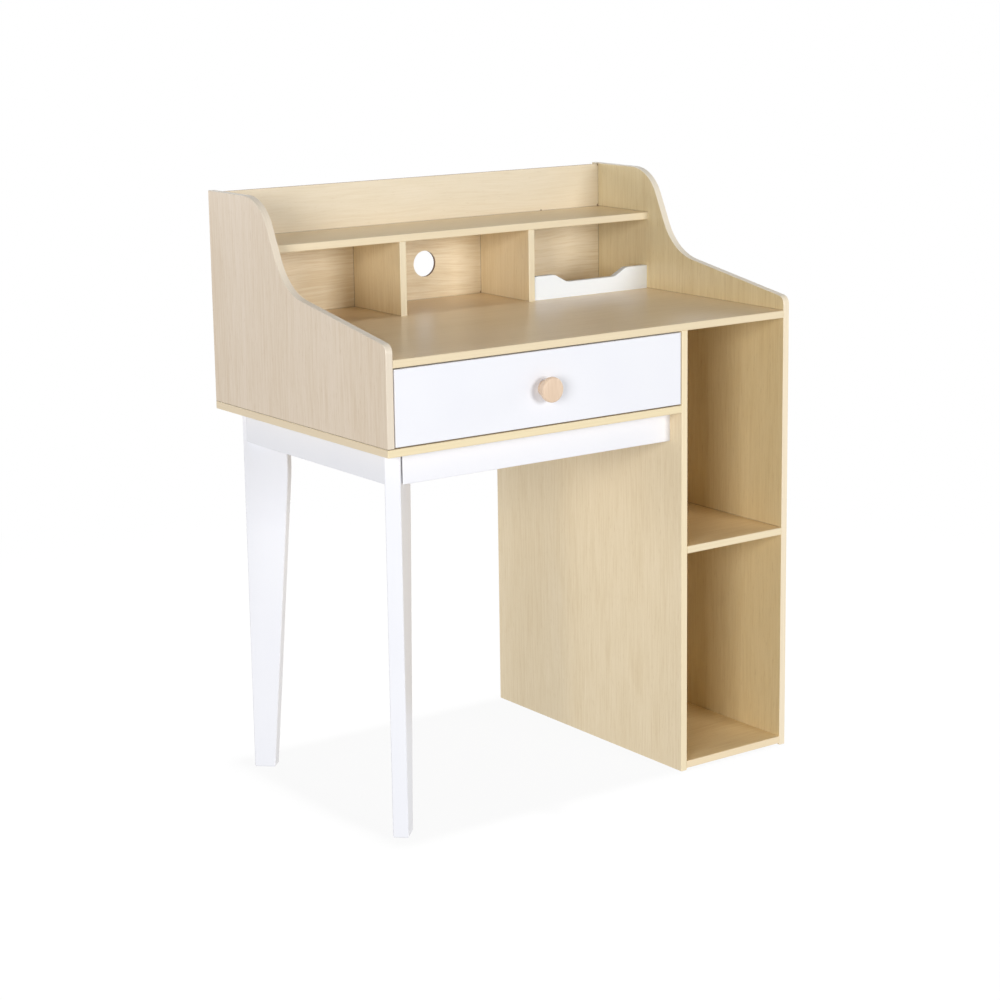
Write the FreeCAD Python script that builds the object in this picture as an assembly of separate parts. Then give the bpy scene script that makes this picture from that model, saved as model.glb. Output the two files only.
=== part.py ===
import FreeCAD, Part
import math
import os
from collections import defaultdict

from FreeCAD import Vector

# All sizes in millimetres. The desk faces -Y, stands on Z = 0 and is centred on the origin in plan.

# Carcass
width = 780.0
depth = 508.0  # boards only, the knob stands in front of this
desk_height = 740.0
hutch_height = 208.0
board = 12.0
back_board = 5.0
back_recess = 13.0  # rear edge of the sides to the rear of the thin backs
groove_depth = 4.0
groove_play = 0.2
arris = 0.8  # bevel on the banded edges

# Drawer bay and cabinet
bay_clear = 119.0
cabinet_clear = 203.0
cabinet_plinth = 3.0
lower_clear = 350.0

# S-shaped front edge of the side panels, set out from the front edge and the desk top
nose_rise = 22.0
nose_radius = 14.0
knee_setback = 283.0
knee_rise = 70.0
knee_radius = 100.0
shoulder_run = 66.0  # shoulder behind the knee
shoulder_radius = 72.0

# Hutch
hutch_clear = 120.0
hutch_inset = 40.0  # shelf and dividers stand this far behind the S-shaped edge
cable_hole_radius = 22.0
cable_hole_offset = 6.0  # right of the middle
hutch_back_drop = 1.6  # below the top of the sides
rail_height = 40.0
rail_thickness = 12.0
rail_setback = 4.0
dip_depth = 14.0
dip_shoulder = 45.0  # level run at each end of the rail
dip_slope = 26.0
dip_radius = 16.0

# Leg frame
side_inset = 24.0
front_inset = 30.0
rear_inset = 36.0
apron_height = 50.0
apron_thickness = 16.0
leg_thickness = 24.0
leg_top_width = 72.0
leg_foot_width = 34.0
leg_straight = 100.0
leg_bend = 260.0
leg_corner_cut = 6.0  # outer edge of a leg behind the corner where the apron faces would meet
leg_arris = 1.2
leg_gap = 1.8  # between the legs and the ends of the front and rear aprons

# Drawer
drawer_gap = 2.0
drawer_top_gap = 2.0
side_headroom = 24.0  # desk top above the drawer sides
drawer_bottom_board = 3.0
drawer_bottom_rise = 10.0
runner_clearance = 12.5
knob_reach = 24.0
knob_radius = 19.5
knob_base_radius = 12.5
knob_flare = 15.0
knob_edge = 3.0
flare_swell = 0.3  # where the flare bends between its ends, across and along
flare_reach = 0.62

# Roller runners
runner_length = 350.0
runner_steel = 1.0
runner_lift = 8.0
runner_start = 2.0
roller_radius = 8.5
roller_play = 0.3
roller_side_gap = 1.75
roller_end = 14.0  # roller axis from the end of its runner
rivet_radius = 2.5
rivet_play = 0.05
rivet_head_radius = 3.4
rivet_head = 0.5
boss_gap = 0.2
lip_gap = 1.9
flange_gap = 1.0
runner_foot = 10.8
side_drop = 5.0
near_screw_share = 0.22  # runner screws from the middle of the runner, as shares of its length
far_screw_share = 0.36

# Fasteners, drawn with flat sides
shank_sides = 6
head_sides = 8
rivet_sides = 12
post_skin = 4.0  # wood left behind a hole in a face
joint_margin = 60.0
short_margin = 34.0
cam_bolt_radius = 3.0
cam_bolt_play = 0.2
cam_nut_radius = 6.0
cam_nut_skin = 2.5
cam_nut_setback = 24.0
dowel_radius = 3.0
dowel_reach = 20.0
long_screw_radius = 2.5
long_screw_length = 46.0
long_screw_head = 4.5
long_screw_head_depth = 3.0
drawer_screw_radius = 2.0
drawer_screw_length = 36.0
drawer_screw_head = 4.0
drawer_screw_head_depth = 2.5
drawer_screw_margin = 16.0
small_screw_radius = 1.75
small_screw_skin = 3.5
small_screw_head = 3.0
small_screw_head_height = 0.7
bracket_leg = 25.0
bracket_width = 18.0
bracket_steel = 2.0
bracket_hole = 15.0
bracket_screw_head = 3.5
bracket_screw_head_height = 2.2
knob_screw_radius = 2.0
knob_screw_skin = 10.0
knob_screw_head = 4.0
knob_screw_head_height = 2.4

# Planes that the boards share
left = -width / 2
right = width / 2
front = -(depth - knob_reach) / 2
back = front + depth
top = desk_height + hutch_height
wall_left = left + board
wall_right = right - board
divider_right = wall_right - cabinet_clear
divider_left = divider_right - board
desk_under = desk_height - board
bay_floor_top = desk_under - bay_clear
bay_under = bay_floor_top - board
cabinet_floor = cabinet_plinth + board
cabinet_shelf_under = cabinet_floor + lower_clear
back_rear = back - back_recess
back_face = back_rear - back_board
hutch_shelf_under = desk_height + hutch_clear
hutch_bay = (wall_right - wall_left - 2 * board) / 3
hutch_divider_lefts = (wall_left + hutch_bay, wall_left + 2 * hutch_bay + board)

# Corners of the S-shaped edge in the Y Z plane
nose = (front, desk_height + nose_rise)
knee = (front + knee_setback, desk_height + knee_rise)
shoulder = (knee[0] + shoulder_run, top)
steep_run = shoulder_run / (shoulder[1] - knee[1])
shelf_middle = hutch_shelf_under + board / 2
hutch_front = knee[0] + (shelf_middle - knee[1]) * steep_run + hutch_inset
rail_left = hutch_divider_lefts[1] + board
rail_front = hutch_front + rail_setback

# Drawer and runner planes
bay_middle = (wall_left + divider_left) / 2
drawer_back_face = front + board
runner_bottom = bay_floor_top + runner_lift
roller_z = runner_bottom + runner_steel + roller_play + roller_radius
slide_under = roller_z + roller_radius + roller_play
slide_top = slide_under + runner_steel
runner_top = slide_top + lip_gap + runner_steel
side_bottom = runner_bottom + side_drop
side_top = desk_under - side_headroom
side_left_outer = wall_left + runner_clearance
side_left_inner = side_left_outer + board
side_right_inner = 2 * bay_middle - side_left_inner
drawer_bottom_under = side_bottom + drawer_bottom_rise
drawer_bottom_top = drawer_bottom_under + drawer_bottom_board
drawer_rear = drawer_back_face + runner_length
drawer_front_bottom = bay_floor_top + drawer_gap
drawer_front_top = desk_under - drawer_top_gap
knob_z = (drawer_front_bottom + drawer_front_top) / 2
roller_inner = wall_left + runner_steel + roller_side_gap
roller_width = runner_clearance - 2 * (runner_steel + roller_side_gap)
small_screw_bite = board - small_screw_skin

full_turn = 360.0
X = Vector(1, 0, 0)
Y = Vector(0, 1, 0)
Z = Vector(0, 0, 1)

parts = {}
holes = defaultdict(list)  # shapes to take out of a board, by node
groups = defaultdict(list)  # separate solids that share a node


# Basic shapes
def block(x, y, z):
    return Part.makeBox(x[1] - x[0], y[1] - y[0], z[1] - z[0], Vector(x[0], y[0], z[0]))


def rod(start, direction, length, radius):
    return Part.makeCylinder(radius, length, start, direction)


def prism(start, direction, length, radius, sides=shank_sides):
    # Rod with flat sides, for what hides in the joints
    across = (X if abs(direction.x) < 0.5 else Y).cross(direction).normalize()
    over = direction.cross(across)
    corners = []
    for step in range(sides):
        turn = 2 * math.pi * (step + 0.5) / sides
        corners.append(start + across * (radius * math.cos(turn)) + over * (radius * math.sin(turn)))
    return plate(corners, direction * length)


def rounded_wire(corners, radii):
    entries, middles, exits = [], [], []
    for index, (corner, radius) in enumerate(zip(corners, radii)):
        before = (corners[index - 1] - corner).normalize()
        after = (corners[(index + 1) % len(corners)] - corner).normalize()
        half = before.getAngle(after) / 2
        reach = radius / math.tan(half)
        inward = (before + after).normalize()
        entries.append(corner + before * reach)
        middles.append(corner + inward * (radius / math.sin(half) - radius))
        exits.append(corner + after * reach)
    edges = []
    for index, radius in enumerate(radii):
        if radius > 0:
            edges.append(Part.Arc(entries[index], middles[index], exits[index]).toShape())
        following = entries[(index + 1) % len(radii)]
        edges.append(Part.LineSegment(exits[index], following).toShape())
    return Part.Wire(edges)


def plate(corners, along, radii=None):
    wire = rounded_wire(corners, radii or [0] * len(corners))
    return Part.Face(wire).extrude(along)


def lies_on(edge, axis, value):
    return all(abs(vertex.Point[axis] - value) < 1e-4 for vertex in edge.Vertexes)


def runs_along(edge, axis):
    ends = [vertex.Point for vertex in edge.Vertexes]
    return abs(ends[0][axis] - ends[-1][axis]) > arris


def soften(shape, chosen, bevel=arris):
    return shape.makeChamfer(bevel, [edge for edge in shape.Edges if chosen(edge)])


def front_banded(shape, y, axis):
    # Softens the front edges that run along one axis
    return soften(shape, lambda edge: lies_on(edge, 1, y) and runs_along(edge, axis))


def mirror_in_bay(shape):
    return shape.mirror(Vector(bay_middle, 0, 0), X)


# Carcass boards
def side_panel(x, bottom):
    outline = [(front, bottom), nose, knee, shoulder, (back, top), (back, bottom)]
    corners = [Vector(x, y, z) for y, z in outline]
    radii = [0, nose_radius, knee_radius, shoulder_radius, 0, 0]
    panel = plate(corners, X * board, radii)
    return soften(panel, lambda edge: lies_on(edge, 0, x) or lies_on(edge, 0, x + board))


def back_groove(x, side, bottom, height):
    # Groove in a face at x for a thin back, cut towards side
    reach = sorted((x, x + side * groove_depth))
    return block(reach, (back_face, back_rear + groove_play), (bottom, bottom + height))


def make_sides():
    parts["left_side_panel"] = side_panel(left, bay_floor_top)
    parts["right_side_panel"] = side_panel(wall_right, 0)
    holes["left_side_panel"].append(back_groove(wall_left, -1, bay_floor_top, top))
    holes["right_side_panel"].append(back_groove(wall_right, 1, cabinet_floor, top))


def shows_on_bay_floor(edge):
    outer = lies_on(edge, 0, left) or lies_on(edge, 1, front)
    return outer and not lies_on(edge, 0, divider_left)


def make_flat_boards():
    desk = block((wall_left, wall_right), (front, back), (desk_under, desk_height))
    parts["desk_top"] = front_banded(desk, front, 0)
    floor = block((left, divider_left), (front, back), (bay_under, bay_floor_top))
    parts["drawer_bay_floor"] = soften(floor, shows_on_bay_floor)
    cabinet = (divider_right, wall_right)
    bottom = block(cabinet, (front, back), (cabinet_plinth, cabinet_floor))
    parts["cabinet_bottom"] = front_banded(bottom, front, 0)
    shelf = block(cabinet, (front, back_face), (cabinet_shelf_under, cabinet_shelf_under + board))
    parts["cabinet_shelf"] = front_banded(shelf, front, 0)


def make_divider():
    divider = block((divider_left, divider_right), (front, back), (0, desk_under))
    parts["cabinet_divider"] = front_banded(divider, front, 2)
    holes["cabinet_divider"].append(back_groove(divider_left, 1, bay_floor_top, bay_clear))
    cabinet_height = desk_under - cabinet_floor
    holes["cabinet_divider"].append(back_groove(divider_right, -1, cabinet_floor, cabinet_height))


def thin_back(x0, x1, z0, z1):
    reach = groove_depth - groove_play
    return block((x0 - reach, x1 + reach), (back_face, back_rear), (z0, z1))


def make_backs():
    parts["drawer_bay_back"] = thin_back(wall_left, divider_left, bay_floor_top, desk_under)
    parts["cabinet_back"] = thin_back(divider_right, wall_right, cabinet_floor, desk_under)
    hutch = thin_back(wall_left, wall_right, desk_height, top - hutch_back_drop)
    centre = Vector(cable_hole_offset, back_face, desk_height + hutch_clear / 2)
    parts["hutch_back"] = hutch.cut(rod(centre, Y, back_board, cable_hole_radius))


def make_hutch():
    depths = (hutch_front, back_face)
    shelf_z = (hutch_shelf_under, hutch_shelf_under + board)
    shelf = block((wall_left, wall_right), depths, shelf_z)
    parts["hutch_shelf"] = front_banded(shelf, hutch_front, 0)
    for name, x in zip(("hutch_divider_left", "hutch_divider_right"), hutch_divider_lefts):
        divider = block((x, x + board), depths, (desk_height, hutch_shelf_under))
        parts[name] = front_banded(divider, hutch_front, 2)


def make_bin_rail():
    high = desk_height + rail_height
    low = high - dip_depth
    outline = [
        (rail_left, desk_height),
        (wall_right, desk_height),
        (wall_right, high),
        (wall_right - dip_shoulder, high),
        (wall_right - dip_shoulder - dip_slope, low),
        (rail_left + dip_shoulder + dip_slope, low),
        (rail_left + dip_shoulder, high),
        (rail_left, high),
    ]
    radii = [0, 0, 0, dip_radius, dip_radius, dip_radius, dip_radius, 0]
    rail = plate([Vector(x, rail_front, z) for x, z in outline], Y * rail_thickness, radii)
    above = desk_height + arris
    parts["bin_rail"] = soften(rail, lambda edge: runs_along(edge, 0) and edge.BoundBox.ZMin > above)


# Leg frame
leg_corners = {
    "front_leg": (Vector(left + side_inset, front + front_inset, 0), Vector(1, 1, 0).normalize()),
    "rear_leg": (Vector(left + side_inset, back - rear_inset, 0), Vector(1, -1, 0).normalize()),
}
mitre = leg_thickness / math.sqrt(2)


def make_leg(name):
    corner, inward = leg_corners[name]
    sideways = Z.cross(inward)
    origin = corner + inward * leg_corner_cut - sideways * (leg_thickness / 2)
    outline = [
        (0, 0),
        (leg_foot_width, 0),
        (leg_top_width, bay_under - leg_straight),
        (leg_top_width, bay_under),
        (0, bay_under),
    ]
    corners = [origin + inward * across + Z * up for across, up in outline]
    leg = plate(corners, sideways * leg_thickness, [0, 0, leg_bend, 0, 0])
    parts[name] = soften(leg, lambda edge: not lies_on(edge, 2, bay_under), leg_arris)


def apron(corners):
    low = bay_under - apron_height
    board_shape = plate([Vector(x, y, low) for x, y in corners], Z * apron_height)
    return soften(board_shape, lambda edge: lies_on(edge, 2, low))


def make_aprons():
    x0 = left + side_inset
    front_y = front + front_inset
    rear_y = back - rear_inset
    step = apron_thickness
    parts["side_apron"] = apron([
        (x0, front_y + mitre),
        (x0, rear_y - mitre),
        (x0 + step, rear_y - mitre - step),
        (x0 + step, front_y + mitre + step),
    ])
    x1 = x0 + mitre + leg_gap * math.sqrt(2)
    parts["front_apron"] = apron([
        (x1, front_y),
        (divider_left, front_y),
        (divider_left, front_y + step),
        (x1 + step, front_y + step),
    ])
    parts["rear_apron"] = apron([
        (x1, rear_y),
        (x1 + step, rear_y - step),
        (divider_left, rear_y - step),
        (divider_left, rear_y),
    ])


def screw(group, nodes, start, along, length, radius, head_radius, head_height):
    # Head first from start, the tip at length
    head = prism(start, along, head_height, head_radius, head_sides)
    solid = head.fuse(prism(start, along, length, radius)).removeSplitter()
    for node in nodes:
        holes[node].append(solid)
    groups[group].append(solid)
    return solid


def angle_bracket(node, corner, outward):
    # Steel angle between the bay floor's underside and an upright face whose normal is outward
    along = Z.cross(outward)
    start = corner - along * (bracket_width / 2)
    outline = [
        (0, 0),
        (bracket_leg, 0),
        (bracket_leg, -bracket_steel),
        (bracket_steel, -bracket_steel),
        (bracket_steel, -bracket_leg),
        (0, -bracket_leg),
    ]
    corners = [start + outward * out + Z * up for out, up in outline]
    angle = plate(corners, along * bracket_width)
    seats = [
        ("drawer_bay_floor", corner + outward * bracket_hole, Z),
        (node, corner - Z * bracket_hole, outward * -1),
    ]
    for carrier, face_point, inward in seats:
        start = face_point - inward * (bracket_steel + bracket_screw_head_height)
        length = bracket_screw_head_height + bracket_steel + small_screw_bite
        angle = angle.cut(screw(
            "bracket_screws", [carrier], start, inward, length,
            small_screw_radius, bracket_screw_head, bracket_screw_head_height,
        ))
    groups["angle_brackets"].append(angle)


def make_brackets():
    for name, (corner, inward) in leg_corners.items():
        inner_edge = corner + inward * (leg_corner_cut + leg_top_width)
        angle_bracket(name, inner_edge + Z * bay_under, inward)
    side_x = left + side_inset + apron_thickness
    front_y = front + front_inset + apron_thickness
    rear_y = back - rear_inset - apron_thickness
    apron_left = side_x + mitre
    for share in (1 / 3, 2 / 3):
        side_y = front_y + (rear_y - front_y) * share
        x = apron_left + (divider_left - apron_left) * share
        angle_bracket("side_apron", Vector(side_x, side_y, bay_under), X)
        angle_bracket("front_apron", Vector(x, front_y, bay_under), Y)
        angle_bracket("rear_apron", Vector(x, rear_y, bay_under), Y * -1)


# Joinery between boards. A beam's end meets the face of a post at a point, and along leads into the beam.
def cam_set(group, post, beam, point, along, open_to):
    bite = board - post_skin
    nut_depth = board - cam_nut_skin
    bolt = prism(point - along * bite, along, bite + cam_nut_setback, cam_bolt_radius)
    centre = point + along * cam_nut_setback
    mouth = centre + open_to * (board / 2)
    pocket = prism(mouth, open_to * -1, nut_depth, cam_nut_radius, head_sides)
    bore = prism(point, along, cam_nut_setback + cam_bolt_play, cam_bolt_radius + cam_bolt_play)
    holes[post].append(bolt)
    holes[beam] += [bore, pocket]
    groups[group + "_bolts"].append(bolt)
    groups[group + "_nuts"].append(pocket.cut(bore))


def dowel(group, post, beam, point, along):
    bite = board - post_skin
    pin = prism(point - along * bite, along, bite + dowel_reach, dowel_radius)
    holes[post].append(pin)
    holes[beam].append(pin)
    groups[group].append(pin)


def ends(first, last, margin):
    return (first + margin, last - margin)


def join_flat_board(beam, post, x, along, z):
    # Two cams with their nuts in the underside
    for y in ends(front, back_face, joint_margin):
        cam_set("cam", post, beam, Vector(x, y, z), along, Z * -1)


def join_carcass():
    desk_z = desk_height - board / 2
    join_flat_board("desk_top", "left_side_panel", wall_left, X, desk_z)
    join_flat_board("desk_top", "right_side_panel", wall_right, X * -1, desk_z)
    floor_z = bay_under + board / 2
    join_flat_board("drawer_bay_floor", "cabinet_divider", divider_left, X * -1, floor_z)
    for beam, under in (("cabinet_bottom", cabinet_plinth), ("cabinet_shelf", cabinet_shelf_under)):
        join_flat_board(beam, "cabinet_divider", divider_right, X, under + board / 2)
        join_flat_board(beam, "right_side_panel", wall_right, X * -1, under + board / 2)
    for y in ends(front, back_face, joint_margin):
        point = Vector(divider_left + board / 2, y, desk_under)
        dowel("dowels", "desk_top", "cabinet_divider", point, Z * -1)


def join_hutch():
    first_y, last_y = ends(hutch_front, back_face, short_margin)
    for post, x, along in (("left_side_panel", wall_left, X), ("right_side_panel", wall_right, X * -1)):
        cam_set("cam", post, "hutch_shelf", Vector(x, first_y, shelf_middle), along, Z * -1)
        dowel("dowels", post, "hutch_shelf", Vector(x, last_y, shelf_middle), along)
    for name, x in zip(("hutch_divider_left", "hutch_divider_right"), hutch_divider_lefts):
        for y in (first_y, last_y):
            dowel("dowels", "desk_top", name, Vector(x + board / 2, y, desk_height), Z)
            dowel("dowels", "hutch_shelf", name, Vector(x + board / 2, y, hutch_shelf_under), Z * -1)
    rail_y = rail_front + rail_thickness / 2
    rail_z = desk_height + (rail_height - dip_depth) / 2
    dowel("dowels", "hutch_divider_right", "bin_rail", Vector(rail_left, rail_y, rail_z), X)
    dowel("dowels", "right_side_panel", "bin_rail", Vector(wall_right, rail_y, rail_z), X * -1)


def fix_left_side():
    nodes = ("drawer_bay_floor", "left_side_panel")
    for y in ends(front, back_face, joint_margin):
        start = Vector(left + board / 2, y, bay_under)
        screw(
            "bay_floor_screws", nodes, start, Z, long_screw_length,
            long_screw_radius, long_screw_head, long_screw_head_depth,
        )


# Drawer
def make_drawer_box():
    face = block(
        (wall_left + drawer_gap, divider_left - drawer_gap),
        (front, drawer_back_face),
        (drawer_front_bottom, drawer_front_top),
    )
    parts["drawer_front"] = soften(face, lambda edge: lies_on(edge, 1, front))
    side = block(
        (side_left_outer, side_left_inner),
        (drawer_back_face, drawer_rear),
        (side_bottom, side_top),
    )
    side = soften(side, lambda edge: lies_on(edge, 2, side_top) and runs_along(edge, 1))
    parts["drawer_side_left"] = side
    parts["drawer_side_right"] = mirror_in_bay(side)
    parts["drawer_back"] = block(
        (side_left_inner, side_right_inner),
        (drawer_rear - board, drawer_rear),
        (drawer_bottom_top, side_top),
    )


def make_drawer_bottom():
    bed = block(
        (side_left_inner - groove_depth + groove_play, side_right_inner + groove_depth - groove_play),
        (drawer_back_face - groove_depth + groove_play, drawer_rear),
        (drawer_bottom_under, drawer_bottom_top),
    )
    groove = block(
        (side_left_inner - groove_depth, side_right_inner + groove_depth),
        (drawer_back_face - groove_depth, drawer_rear),
        (drawer_bottom_under, drawer_bottom_top + groove_play),
    )
    parts["drawer_bottom"] = bed
    for node in ("drawer_front", "drawer_side_left", "drawer_side_right"):
        holes[node].append(groove)


def join_drawer():
    upper = side_bottom + 2 * (side_top - side_bottom) / 3
    lower = (drawer_bottom_top + upper) / 2
    sides = (
        (side_left_outer + board / 2, X, "drawer_side_left"),
        (side_right_inner + board / 2, X * -1, "drawer_side_right"),
    )
    for x, inward, side in sides:
        cam_set("drawer_cam", "drawer_front", side, Vector(x, drawer_back_face, upper), Y, inward)
        dowel("drawer_dowels", "drawer_front", side, Vector(x, drawer_back_face, lower), Y)
        for z in ends(drawer_bottom_top, side_top, drawer_screw_margin):
            start = Vector(x, drawer_rear - board / 2, z) - inward * (board / 2)
            screw(
                "drawer_screws", (side, "drawer_back"), start, inward, drawer_screw_length,
                drawer_screw_radius, drawer_screw_head, drawer_screw_head_depth,
            )


def make_knob():
    outline = [
        (0, 0),
        (knob_base_radius, 0),
        (knob_base_radius + (knob_radius - knob_base_radius) * flare_swell, knob_flare * flare_reach),
        (knob_radius, knob_flare),
        (knob_radius, knob_reach - knob_edge),
        (knob_radius - knob_edge, knob_reach),
        (0, knob_reach),
    ]
    profile = Part.makePolygon([Vector(across, -out, 0) for across, out in outline + outline[:1]])
    knob = Part.Face(profile).revolve(Vector(0, 0, 0), Y, full_turn)
    seat = Vector(bay_middle, front, knob_z)
    knob.translate(seat)
    start = seat + Y * (board + knob_screw_head_height)
    length = knob_screw_head_height + board + knob_reach - knob_screw_skin
    parts["drawer_knob"] = knob
    screw(
        "knob_screw", ("drawer_knob", "drawer_front"), start, Y * -1, length,
        knob_screw_radius, knob_screw_head, knob_screw_head_height,
    )


# Roller runners, worked out for the left side and mirrored to the right
def runner_profile(points, y0, length):
    return plate([Vector(wall_left + out, y0, z) for out, z in points], Y * length)


def cabinet_runner():
    web = runner_steel
    flange = runner_clearance - runner_steel - flange_gap
    lip = roller_side_gap + runner_steel + roller_width / 2
    points = [
        (0, runner_bottom),
        (flange, runner_bottom),
        (flange, runner_bottom + web),
        (web, runner_bottom + web),
        (web, runner_top - web),
        (lip, runner_top - web),
        (lip, runner_top),
        (0, runner_top),
    ]
    return runner_profile(points, drawer_back_face + runner_start, runner_length)


def drawer_runner():
    web = runner_steel
    outer = runner_clearance - web
    foot = runner_clearance + runner_foot
    reach = runner_steel + roller_side_gap
    points = [
        (outer, side_bottom - web),
        (foot, side_bottom - web),
        (foot, side_bottom),
        (runner_clearance, side_bottom),
        (runner_clearance, slide_top),
        (reach, slide_top),
        (reach, slide_under),
        (outer, slide_under),
    ]
    return runner_profile(points, drawer_back_face, runner_length)


def roller(y):
    middle = Vector(roller_inner, y, roller_z)
    tread = rod(middle, X, roller_width, roller_radius)
    bore = (rivet_radius + rivet_play) / math.cos(math.pi / rivet_sides)
    return tread.cut(prism(middle, X, roller_width, bore, rivet_sides))


def rivet(y, root, direction):
    # Shank from the steel's hidden face, a boss up to the roller and a flat head beyond it
    axis = Vector(root, y, roller_z)
    boss = runner_steel + roller_side_gap - boss_gap
    shank = runner_steel + roller_side_gap + roller_width + boss_gap
    body = prism(axis, direction, shank, rivet_radius, rivet_sides)
    seat = axis + direction * runner_steel
    end = axis + direction * shank
    collar = prism(seat, direction, boss - runner_steel, rivet_head_radius, rivet_sides)
    head = prism(end, direction, rivet_head, rivet_head_radius, rivet_sides)
    return body.fuse([collar, head]).removeSplitter()


def runner_screws(owner, walls, points, inward):
    # Screws through a runner's web into the board behind it, and the same on the other side
    group = owner + "_runner_screws"
    length = small_screw_head_height + runner_steel + small_screw_bite
    for point in points:
        start = point - inward * (runner_steel + small_screw_head_height)
        solid = screw(
            group, (owner + "_runner_left", walls[0]), start, inward, length,
            small_screw_radius, small_screw_head, small_screw_head_height,
        )
        groups[group].append(mirror_in_bay(solid))
        holes[walls[1]].append(mirror_in_bay(solid))


def make_runners():
    parts["cabinet_runner_left"] = cabinet_runner()
    parts["drawer_runner_left"] = drawer_runner()
    front_y = drawer_back_face + runner_start + roller_end
    rear_y = drawer_rear - roller_end
    drawer_face = side_left_outer
    rivets = {"cabinet": rivet(front_y, wall_left, X), "drawer": rivet(rear_y, drawer_face, X * -1)}
    for owner, solid in rivets.items():
        holes[owner + "_runner_left"].append(solid)
        groups[owner + "_rivets"] += [solid, mirror_in_bay(solid)]
    for end, y in (("front", front_y), ("rear", rear_y)):
        parts[end + "_roller_left"] = roller(y)
        parts[end + "_roller_right"] = mirror_in_bay(parts[end + "_roller_left"])
    middle_y = drawer_back_face + runner_start + runner_length / 2
    near = runner_length * near_screw_share
    far = runner_length * far_screw_share
    walls = ("left_side_panel", "cabinet_divider")
    points = [Vector(wall_left, y, roller_z) for y in (middle_y - near, middle_y + far)]
    runner_screws("cabinet", walls, points, X * -1)
    sides = ("drawer_side_left", "drawer_side_right")
    foot_x = side_left_outer + board / 2
    points = [Vector(foot_x, y, side_bottom) for y in (middle_y - far, middle_y + near)]
    runner_screws("drawer", sides, points, Z)


def finish_runners():
    for owner in ("cabinet", "drawer"):
        parts[owner + "_runner_right"] = mirror_in_bay(parts[owner + "_runner_left"])


def main():
    os.makedirs("parts", exist_ok=True)
    make_sides()
    make_flat_boards()
    make_divider()
    make_backs()
    make_hutch()
    make_bin_rail()
    for name in leg_corners:
        make_leg(name)
    make_aprons()
    make_brackets()
    join_carcass()
    join_hutch()
    fix_left_side()
    make_drawer_box()
    make_drawer_bottom()
    join_drawer()
    make_knob()
    make_runners()
    for node, tools in holes.items():
        parts[node] = parts[node].cut(tools)
    finish_runners()
    for node, solids in groups.items():
        parts[node] = Part.makeCompound(solids)
    for node, shape in parts.items():
        shape.exportStep("parts/" + node + ".step")


main()
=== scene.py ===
import bpy
import bmesh
import math
import numpy
from mathutils import Matrix, Vector


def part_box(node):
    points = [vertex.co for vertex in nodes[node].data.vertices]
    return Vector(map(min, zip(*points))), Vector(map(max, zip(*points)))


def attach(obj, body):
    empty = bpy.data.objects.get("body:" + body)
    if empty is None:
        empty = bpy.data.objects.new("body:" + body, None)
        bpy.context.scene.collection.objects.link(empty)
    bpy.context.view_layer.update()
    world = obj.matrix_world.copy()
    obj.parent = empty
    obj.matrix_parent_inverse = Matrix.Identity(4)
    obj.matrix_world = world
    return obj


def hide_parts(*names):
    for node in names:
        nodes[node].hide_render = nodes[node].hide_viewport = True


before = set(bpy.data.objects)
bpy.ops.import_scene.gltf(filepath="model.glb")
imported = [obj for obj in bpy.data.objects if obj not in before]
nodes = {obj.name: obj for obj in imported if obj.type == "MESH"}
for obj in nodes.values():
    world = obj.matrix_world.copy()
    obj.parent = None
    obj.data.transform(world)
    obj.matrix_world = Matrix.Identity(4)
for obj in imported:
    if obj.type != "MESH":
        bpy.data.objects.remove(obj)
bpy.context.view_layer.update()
scene = bpy.context.scene
scene.view_settings.view_transform = "Standard"
print("frame loaded,", len(nodes), "nodes")


# colours are written in sRGB and handed to the shaders as linear
def linear(colour):
    out = []
    for part in colour:
        part = part / 255
        out.append(part / 12.92 if part <= 0.04045 else ((part + 0.055) / 1.055) ** 2.4)
    return (*out, 1)


noiseEnds = (0.3, 0.7)      # between these a noise pattern runs from its dull tone to its bright one


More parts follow.
